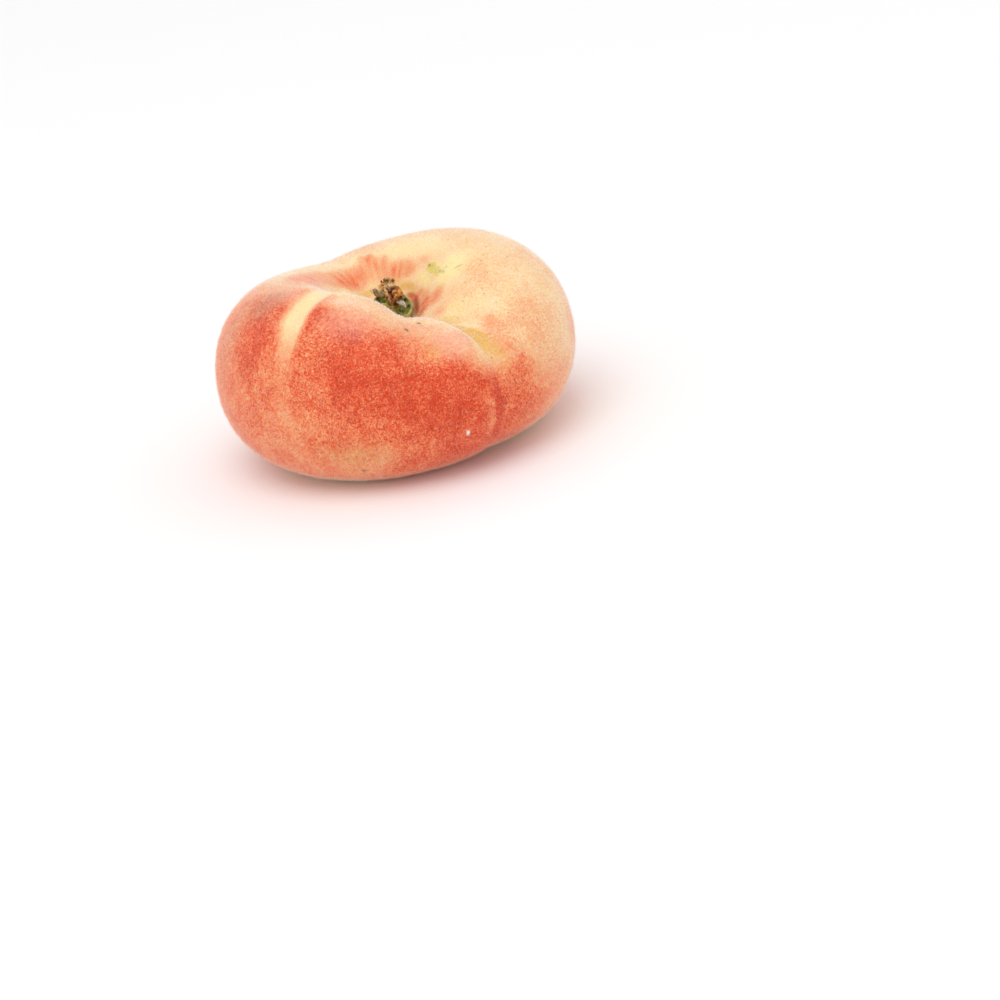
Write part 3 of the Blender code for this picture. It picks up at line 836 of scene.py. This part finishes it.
# The torn wood as limbs in the same frame: points along each limb with its radius there
WOOD_LIMBS = {
    "root": ((-0.3, 0.5, 3.0, 0.9), (-0.5, 0.6, 4.0, 1.1), (-0.6, 0.75, 4.9, 1.3)),
    "knob": ((-0.6, 0.8, 5.2, 1.42), (-0.65, 0.8, 5.9, 1.45), (-0.9, 0.85, 6.5, 1.05)),
    "neck": (
        (-0.9, 0.85, 6.5, 1.0),
        (-1.7, 0.8, 6.85, 0.78),
        (-2.4, 0.75, 7.05, 0.68),
        (-3.0, 0.95, 7.35, 0.58),
    ),
    "petal": (
        (-1.85, -0.2, 6.4, 0.25),
        (-1.9, -0.60, 6.0, 0.36),
        (-1.6, -0.80, 5.6, 0.42),
        (-1.1, -0.80, 5.25, 0.40),
        (-0.5, -0.65, 5.0, 0.36),
    ),
    "strand": (
        (-3.4, 0.35, 6.95, 0.20),
        (-2.8, 0.1, 6.65, 0.26),
        (-2.1, 0.0, 6.35, 0.32),
        (-1.5, 0.0, 6.0, 0.40),
    ),
    "fibre_to_grey": ((-3.0, -0.85, 5.4, 0.14), (-2.4, -0.8, 5.6, 0.18), (-1.8, -0.7, 5.8, 0.30)),
    "fibre_to_tan": ((-3.3, 0.0, 6.25, 0.12), (-2.9, 0.1, 6.5, 0.15), (-2.6, 0.1, 6.6, 0.20)),
}
# The tuft's crumbs lie about a line
TUFT_ENDS = ((-3.75, 0.60, 7.30), (-2.35, 1.55, 8.0))
TUFT_SPREAD = 0.27
CRUMBS = 80
CRUMB_RADII = (0.12, 0.34)
CRUMB_STRETCH = (0.6, 1.3)
# Folds in the wood, pressed in and painted dark as painted shade, each a line of points
FOLDS = (
    (
        (-3.1, 0.2, 6.9),
        (-2.3, -0.1, 6.6),
        (-1.6, -0.35, 6.3),
        (-0.9, -0.65, 6.0),
        (-0.4, -0.85, 5.45),
        (0.1, -0.7, 4.9),
    ),
    ((-0.4, -0.95, 5.5), (0.3, -0.75, 5.6), (0.75, -0.35, 5.75), (0.7, 0.5, 6.1)),
)
FOLD_REACH = 0.42
FOLD_DEPTH = 0.30
# How deep the wrinkles, the grain and the crumbs are
WRINKLE_DEPTH = 0.24
WOOD_GRAIN_DEPTH = 0.09
CRUMB_DEPTH = 0.05
TUFT_CRUMB_DEPTH = 0.12
# Where the wood takes another colour: the stain, a line of points, its reach and its strength
WOOD_STAINS = (
    ("straw", ((-3.05, 0.5, 7.1), (-2.4, 0.6, 7.15), (-1.8, 1.2, 7.3)), 0.95, 0.72),
    # painted shade: the knob darker towards its lower right
    ("burnt", ((0.5, -0.4, 4.9), (0.9, 0.2, 5.4)), 1.6, 0.75),
    ("petal", tuple(station[:3] for station in WOOD_LIMBS["petal"]), 0.75, 1.0),
    # a small pale grey-lilac spot on the knob's front
    ("lichen", ((0.2, -0.65, 6.05), (0.25, -0.6, 6.1)), 0.30, 1.0),
)
WOOD_VOXEL = 0.078

# Each dried scale, much as its solid has it: the direction and distance of its foot from the stub's
# axis, its height, its facing, length, width, tilt, curl and thickness. Then its colours, dark to light
SCALES = {
    "scale_grey": ((-160, 3.7, 4.75, 80, 1.9, 2.6, 20, 50, 0.50), ("#6A5A38", "#AC9874", "#DCCAB2")),
    "scale_pale": ((3, 0.5, 5.15, 0, 2.1, 1.6, 84, 40, 0.22), ("#948670", "#BEB2A0", "#E0D8CC")),
    "scale_tan": ((172, 3.95, 4.9, 95, 1.6, 1.5, 8, 50, 0.40), ("#E8A858", "#FFD488", "#FFF0C4")),
}
SCALE_GRID = (22, 30)
SCALE_BEVEL = 0.05
# How far a scale's sides are torn and its tip is frayed, as shares of it, and how far in millimetres it
# bows outwards, is lumpy and its veins stand out
SCALE_TEAR = 0.16
SCALE_FRAY = 0.20
SCALE_BOW = 0.3
SCALE_LUMPS = 0.14
SCALE_VEINS = 14
VEIN_HEIGHT = 0.03
VEIN_SHADE = 0.35

# The sizes of the patches of colour. Real stalk and wood also have a grain of about 0.05 mm, which is too
# fine to show and is drawn coarser
STALK_PATCH_SIZE = 1.1 * MM
WOOD_PATCH_SIZE = 0.8 * MM
SCALE_PATCH_SIZE = 0.6 * MM
BARK_COLOURS = ((0.34, "#5E641C"), (0.5, "#96983A"), (0.62, "#C0BE74"))
FLESH_COLOURS = ((0.0, "#94A844"), (0.3, "#B8B856"), (0.6, "#A8843E"), (1.0, "#625E14"))
# The knob, the petal, the crumbs and the straw
WOOD_COLOURS = (
    ((0.36, "#7C3A0C"), (0.5, "#B86C20"), (0.60, "#D8A04C")),
    ((0.34, "#B06838"), (0.55, "#DCA070")),
    ((0.38, "#64380C"), (0.5, "#A87636"), (0.62, "#DCB474")),
    ((0.34, "#DEAC66"), (0.55, "#FFE4B4")),
)


def stub_frame(moved):
    """Places what is modelled in millimetres in the stub's own frame."""
    foot = Matrix.Translation(Vector(STEM_FOOT) * MM + moved)
    leaning = Matrix.Rotation(STEM_LEAN_TOWARDS, 4, "Z") @ Matrix.Rotation(STEM_LEAN, 4, "Y")
    return foot @ leaning @ Matrix.Scale(MM, 4)


def near_line(points, line, reach):
    """1 on a line of points, fading to 0 at its reach."""
    away = np.full(len(points), np.inf)
    for start, end in zip(line, line[1:]):
        run = np.subtract(end, start)
        share = np.clip((points - start) @ run / (run @ run), 0, 1)
        away = np.minimum(away, np.linalg.norm(points - start - share[:, None] * run, axis=1))
    return 1 - edge(away, 0.3 * reach, reach)


def cup_wall():
    """The cup's plain form: a ring drawn up its wall, over the rim and down, closed at both ends."""
    (height, radius), *rest = CUP_WALL
    bpy.ops.mesh.primitive_circle_add(vertices=CUP_SIDES, radius=radius, location=(0, 0, height))
    cup = bpy.context.object
    cup.name = cup.data.name = "stalk_cup"
    bpy.ops.object.transform_apply(location=True)
    bpy.ops.object.mode_set(mode="EDIT")
    bpy.ops.mesh.select_all(action="SELECT")
    for next_height, next_radius in rest:
        bpy.ops.mesh.extrude_region_move(TRANSFORM_OT_translate={"value": (0, 0, next_height - height)})
        share = next_radius / radius
        bpy.ops.transform.resize(value=(share, share, 1), center_override=(0, 0, 0))
        height, radius = next_height, next_radius
    bpy.ops.mesh.merge(type="CENTER")
    bpy.ops.mesh.select_all(action="DESELECT")
    bpy.ops.mesh.select_non_manifold()
    bpy.ops.mesh.edge_face_add()
    bpy.ops.mesh.select_all(action="SELECT")
    bpy.ops.mesh.normals_make_consistent(inside=False)
    bpy.ops.object.mode_set(mode="OBJECT")
    apply_modifier(cup, "SUBSURF", levels=2)
    return cup


def make_cup(moved):
    """The stub: a torn cup of bark with ribs outside and lumpy pith inside, greener at the left."""
    cup = cup_wall()
    points, normals = get_points(cup.data), get_normals(cup.data)
    turn = np.arctan2(points[:, 1], points[:, 0])
    radius = np.hypot(points[:, 0], points[:, 1])
    high = points[:, 2]
    at_rim = edge(high, 3.4, 4.2) * edge(radius, 2.8, 3.4)
    outer = edge(radius, 3.05, 3.2)
    pith = edge(high, *PITH_HEIGHTS) * (1 - edge(radius, 2.75, 3.35))
    lumps = smooth_noise(points * [1, 1, 0.4], 0.7, 41) + 0.6 * smooth_noise(points, 0.35, 42)
    fibres = flat_noise(turn * 5, high * 0.5, 43)
    tears = flat_noise(turn * 3.4, 0, 44)
    points[:, :2] *= (1 + outer * CUP_RIB_HEIGHT / 4 * np.cos(CUP_RIBS * turn))[:, None]
    teeth = sum(rise * swell(np.degrees(turn), middle, width, width) for middle, rise, width in RIM_TEETH)
    points[:, 2] += at_rim * (RIM_WAVE * np.sin(3 * turn + 0.6) + RIM_TEAR * tears + teeth)
    rough = PITH_LUMPS * pith * lumps + BARK_FIBRES * outer * fibres + RIM_LUMPS * at_rim * lumps
    points += normals * rough[:, None]
    floor = edge(high, *PITH_HEIGHTS) * (1 - edge(radius, 2.4, 2.9))
    mound = floor * (1 - edge(0.9 * points[:, 0] + 0.55 * points[:, 1], 0.2, 1.6))
    pits = np.zeros(len(points))
    for x, y, reach, depth in PITH_PITS:
        pit = 1 - edge(np.hypot(points[:, 0] - x, points[:, 1] - y), 0.2 * reach, reach)
        pits = np.maximum(pits, pit * edge(high, *PITH_HEIGHTS) * (1 - edge(radius, 3.5, 3.8)))
        points[:, 2] -= depth * pit * floor
    points[:, 2] += MOUND_HEIGHT * mound
    set_points(cup.data, points)
    bpy.ops.object.shade_smooth()
    # painted shade: the hollows between the pith's lumps and its pits are painted dark
    painted_hollow_shade = np.clip(-0.8 * lumps, 0, 0.8) * np.maximum(0.8 * pith, 0.4 * at_rim)
    store(cup.data, "pits", np.maximum(painted_hollow_shade, pits))
    store(cup.data, "rim", edge(high, 4.12, 4.32) * edge(radius, 3.4, 3.7))
    # painted shadow: the rim's left end and the pith beside it, almost black
    store(cup.data, "dried", near_line(points, PAINTED_SHADOW_LINE, PAINTED_SHADOW_REACH))
    store(cup.data, "mound", mound)
    store(cup.data, "ripe", edge(points[:, 0], -3.2, 1.8))
    cup.data.transform(stub_frame(moved))
    return cup


def add_lump(x, y, z, radius, stretch=(1, 1, 1)):
    bpy.ops.mesh.primitive_ico_sphere_add(subdivisions=2, radius=radius, location=(x, y, z), scale=stretch)
    return bpy.context.object


def add_limb(stations):
    """Overlapping lumps along a line of points, each with a radius."""
    lumps = []
    for near, far in zip(stations, stations[1:]):
        gap = math.dist(near[:3], far[:3])
        count = max(2, round(gap / (0.4 * min(near[3], far[3]))))
        for step in range(count):
            lumps.append(add_lump(*np.array(near) + (np.array(far) - near) * step / count))
    lumps.append(add_lump(*stations[-1]))
    return lumps


def remove_loose_bits(piece):
    """Keeps only what hangs together with the piece's lowest point."""
    lowest = int(get_points(piece.data)[:, 2].argmin())
    bpy.ops.object.mode_set(mode="EDIT")
    bpy.ops.mesh.select_all(action="DESELECT")
    bpy.ops.object.mode_set(mode="OBJECT")
    piece.data.vertices[lowest].select = True
    bpy.ops.object.mode_set(mode="EDIT")
    bpy.ops.mesh.select_linked()
    bpy.ops.mesh.select_all(action="INVERT")
    bpy.ops.mesh.delete(type="VERT")
    bpy.ops.object.mode_set(mode="OBJECT")


def twig_body():
    """The twig's plain form: lumps along its limbs and crumbs in its tuft, grown into one skin."""
    lumps = []
    for stations in WOOD_LIMBS.values():
        lumps += add_limb(stations)
    dice = np.random.RandomState(7)
    start, end = (np.array(point) for point in TUFT_ENDS)
    for _ in range(CRUMBS):
        place = start + (end - start) * dice.uniform() + TUFT_SPREAD * dice.normal(size=3)
        lumps.append(add_lump(*place, dice.uniform(*CRUMB_RADII), dice.uniform(*CRUMB_STRETCH, 3)))
    bpy.ops.object.select_all(action="DESELECT")
    for lump in lumps:
        lump.select_set(True)
    wood = lumps[0]
    bpy.context.view_layer.objects.active = wood
    bpy.ops.object.join()
    bpy.ops.object.transform_apply(location=True, rotation=True, scale=True)
    wood.name = wood.data.name = "torn_twig"
    apply_modifier(wood, "REMESH", mode="VOXEL", voxel_size=WOOD_VOXEL)
    remove_loose_bits(wood)
    return wood


def make_torn_wood(moved):
    """The torn end of the twig: a knob with folds, strands that rise from it and a crumbly tuft."""
    wood = twig_body()
    points, normals = get_points(wood.data), get_normals(wood.data)
    in_tuft = edge(points[:, 2], 7.0, 7.5) * edge(-points[:, 0], 1.6, 2.2)
    wrinkles = 0.35 - np.abs(smooth_noise(points * [1, 1, 0.6], 0.8, 51))
    grain = smooth_noise(points * [1, 1, 0.4], 0.32, 52)
    crumbs = smooth_noise(points, 0.24, 53)
    folds = np.max([near_line(points, fold, FOLD_REACH) for fold in FOLDS], axis=0)
    crumb_depth = CRUMB_DEPTH + TUFT_CRUMB_DEPTH * in_tuft
    rough = WRINKLE_DEPTH * wrinkles + WOOD_GRAIN_DEPTH * grain + crumb_depth * crumbs
    points += normals * (rough - FOLD_DEPTH * folds)[:, None]
    set_points(wood.data, points)
    bpy.ops.object.shade_smooth()
    # painted shade: the wood's low wrinkles and its folds are painted dark
    store(wood.data, "pits", np.maximum(edge(-rough, -0.04, 0.13), folds))
    store(wood.data, "tuft", in_tuft)
    for name, line, reach, strength in WOOD_STAINS:
        store(wood.data, name, strength * near_line(points, line, reach))
    wood.data.transform(stub_frame(moved))
    return wood


def make_scale(name, moved, towards, distance, height, facing, length, width, tilt, curl, thickness):
    """One dried scale: a torn flake, curled across its width, with veins along it."""
    bpy.ops.mesh.primitive_grid_add(x_subdivisions=SCALE_GRID[0], y_subdivisions=SCALE_GRID[1], size=1)
    flake = bpy.context.object
    flake.name = flake.data.name = name + "_fine"
    flat = get_points(flake.data)
    across = 2 * flat[:, 0]
    along = flat[:, 1] + 0.5
    seed = int(distance * 100)
    torn = flat_noise(across * 1.5, along * 9, seed)
    share = np.sin(np.pi * (0.16 + 0.80 * along)) ** 0.7 * (1 + SCALE_TEAR * torn)
    radius = width / 2 / math.radians(curl)
    bend = math.radians(curl) * across * share
    frayed = SCALE_FRAY * length * flat_noise(across * 4, 0, seed + 1)
    veins = np.cos(across * SCALE_VEINS + 2 * torn) * np.sin(np.pi * along) ** 0.5
    lumps = smooth_noise(flat * [2.2, 3.0, 0], 1, seed + 2)
    bulge = SCALE_BOW * along**2 - radius * (1 - np.cos(bend)) + SCALE_LUMPS * lumps + VEIN_HEIGHT * veins
    upward = length * along + frayed * edge(along, 0.6, 1)
    set_points(flake.data, np.stack([bulge, radius * np.sin(bend), upward], axis=-1))
    store(flake.data, "veins", 0.5 + 0.5 * veins)
    apply_modifier(flake, "SOLIDIFY", thickness=thickness, offset=0.0)
    apply_modifier(flake, "BEVEL", width=SCALE_BEVEL, segments=1, limit_method="ANGLE")
    bpy.ops.object.shade_smooth()
    place = stub_frame(moved) @ Matrix.Rotation(math.radians(towards), 4, "Z")
    place = place @ Matrix.Translation((distance, 0, height)) @ Matrix.Rotation(math.radians(facing), 4, "Z")
    flake.data.transform(place @ Matrix.Rotation(math.radians(tilt), 4, "Y"))
    return flake


def stalk_material():
    """Broken green stalk, moist inside: to the eye yellow-green flesh and a dry pale rim, with painted shade
    in its pits and hollows and painted shadow at its rim's left end.
    """
    made, add = new_material("green_stalk", {"Roughness": 0.45})
    place = add("TexCoord", output="Object")
    patches = add("TexNoise", {"Vector": place, "Scale": 1 / STALK_PATCH_SIZE, "Detail": 3.0})
    bark = add("ValToRGB", (patches,), stops=BARK_COLOURS)
    spread = add("MapRange", (patches, 0.3, 0.7, -0.3, 0.3))
    ripe = add("Attribute", output="Fac", attribute_name="ripe")
    ripe = add("Math", (ripe, spread), operation="ADD")
    flesh = add("ValToRGB", (ripe,), stops=FLESH_COLOURS)
    # painted shadow at the rim's left end and painted shade in the pits
    layers = (("mound", flesh), ("dried", "#241A06"), ("rim", "#AE9C52"), ("pits", "#2C3006"))
    feed(made, "Base Color", layered(add, bark, *layers))
    roughen(made, add, place, size=0.18, detail=3.0, strength=0.6, depth=0.06)
    return made


def wood_material():
    """Torn twig, dry fibre: to the eye red-brown, with painted shade in its folds and wrinkles and on the
    knob's lower right, straw-coloured where it split last.
    """
    made, add = new_material("torn_wood", {"Roughness": 0.7})
    place = add("TexCoord", output="Object")
    patches = add("TexNoise", {"Vector": place, "Scale": 1 / WOOD_PATCH_SIZE, "Detail": 4.0})
    knob, petal, crumbs, straw = (add("ValToRGB", (patches,), stops=stops) for stops in WOOD_COLOURS)
    colour = layered(
        add,
        knob,
        # painted shade on the knob's lower right
        ("burnt", "#4E200A"),
        ("petal", petal),
        ("tuft", crumbs),
        # painted shade in the wrinkles and folds
        ("pits", "#461E02"),
        ("straw", straw),
        # the small pale grey-lilac spot on the knob's front
        ("lichen", "#B8A0A4"),
    )
    feed(made, "Base Color", colour)
    roughen(made, add, place, size=0.15, detail=3.0, strength=0.7, depth=0.06)
    return made


def scale_material(name, dark, middle, light):
    """A dried bud scale: to the eye papery and dull, with veins darker than what lies between them."""
    made, add = new_material(name, {"Roughness": 0.75})
    place = add("TexCoord", output="Object")
    patches = add("TexNoise", {"Vector": place, "Scale": 1 / SCALE_PATCH_SIZE, "Detail": 3.0})
    stops = ((0.34, dark), (0.5, middle), (0.64, light))
    colour = add("ValToRGB", (patches,), stops=stops)
    feed(made, "Base Color", layered(add, colour, ("veins", dark, VEIN_SHADE)))
    return made


# The studio, in metres: a pale floor, an even sky and one soft light above the fruit's left
FLOOR_SIZE = 12
SKY_STRENGTH = 0.88
SOFTBOX_PLACE = (-0.35, -0.25, 1.0)
SOFTBOX_AIM = (0, 0, 0.02)
SOFTBOX_SIZE = 0.9
SOFTBOX_POWER = 3.4


def give(piece, material, slot, *nodes):
    """Finishes a piece: its material, the body that it rides on and the solids that it stands for."""
    piece.data.materials.clear()
    piece.data.materials.append(material)
    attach(piece, "root")
    for node in nodes:
        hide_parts(node)


def add_floor():
    """White paper, matt: to the eye it fades into the background and only takes the fruit's shadow."""
    bpy.ops.mesh.primitive_plane_add(size=FLOOR_SIZE)
    floor = bpy.context.object
    floor.name = "floor"
    paper, _ = new_material("white_paper", {"Base Color": "#FAFAFA", "Roughness": 0.9})
    floor.data.materials.append(paper)


def add_camera():
    """Looks from the photo's direction and aims past the fruit, so that it lies off the frame's middle."""
    azimuth, elevation = VIEW_AZIMUTH, VIEW_ELEVATION
    level = Vector((math.cos(azimuth), math.sin(azimuth), 0))
    outward = Vector((math.sin(azimuth), -math.cos(azimuth), 0))
    back = outward * math.cos(elevation) + Vector((0, 0, math.sin(elevation)))
    upward = back.cross(level)
    right = math.cos(VIEW_ROLL) * level - math.sin(VIEW_ROLL) * upward
    up = math.sin(VIEW_ROLL) * level + math.cos(VIEW_ROLL) * upward
    focal_pixels = PIXELS_PER_MM * VIEW_DISTANCE / MM
    aside = FRAME_PIXELS / 2 - MIDDLE_PIXEL[0]
    below = FRAME_PIXELS / 2 - MIDDLE_PIXEL[1]
    forward = (aside * right - below * up - focal_pixels * back).normalized()
    right = forward.cross(up).normalized()
    up = right.cross(forward)
    data = bpy.data.cameras.new("camera")
    data.lens = SENSOR_MM * focal_pixels / FRAME_PIXELS
    data.sensor_width = SENSOR_MM
    data.clip_start = 10 * MM
    camera = bpy.data.objects.new("camera", data)
    turn = Matrix((right, up, -forward)).transposed()
    camera.matrix_world = Matrix.Translation(VIEW_MIDDLE + back * VIEW_DISTANCE) @ turn.to_4x4()
    bpy.context.scene.collection.objects.link(camera)
    bpy.context.scene.camera = camera


def add_lights():
    world = bpy.data.worlds.new("studio")
    world.use_nodes = True
    sky = world.node_tree.nodes["Background"].inputs
    sky["Color"].default_value = (1, 1, 1, 1)
    sky["Strength"].default_value = SKY_STRENGTH
    bpy.context.scene.world = world
    light = bpy.data.lights.new("softbox", "AREA")
    light.energy = SOFTBOX_POWER
    light.shape = "DISK"
    light.size = SOFTBOX_SIZE
    softbox = bpy.data.objects.new("softbox", light)
    softbox.location = SOFTBOX_PLACE
    aim = Vector(SOFTBOX_AIM) - Vector(SOFTBOX_PLACE)
    softbox.rotation_euler = aim.to_track_quat("-Z", "Y").to_euler()
    bpy.context.scene.collection.objects.link(softbox)
    bpy.context.scene.view_settings.view_transform = "Standard"


add_camera()
add_lights()
add_floor()
skin, moved = make_skin()
give(skin, skin_material(), "peach_skin", "fruit")
down = fuzz_material()
for number in range(FUZZ_PIECES):
    give(make_fuzz(skin, number), down, "peach_skin")
give(make_cup(moved), stalk_material(), "green_stalk", "stem")
give(make_torn_wood(moved), wood_material(), "torn_wood", "torn_wood")
for name, (form, colours) in SCALES.items():
    dried = scale_material("dry_" + name, *colours)
    give(make_scale(name, moved, *form), dried, "dry_" + name, name)
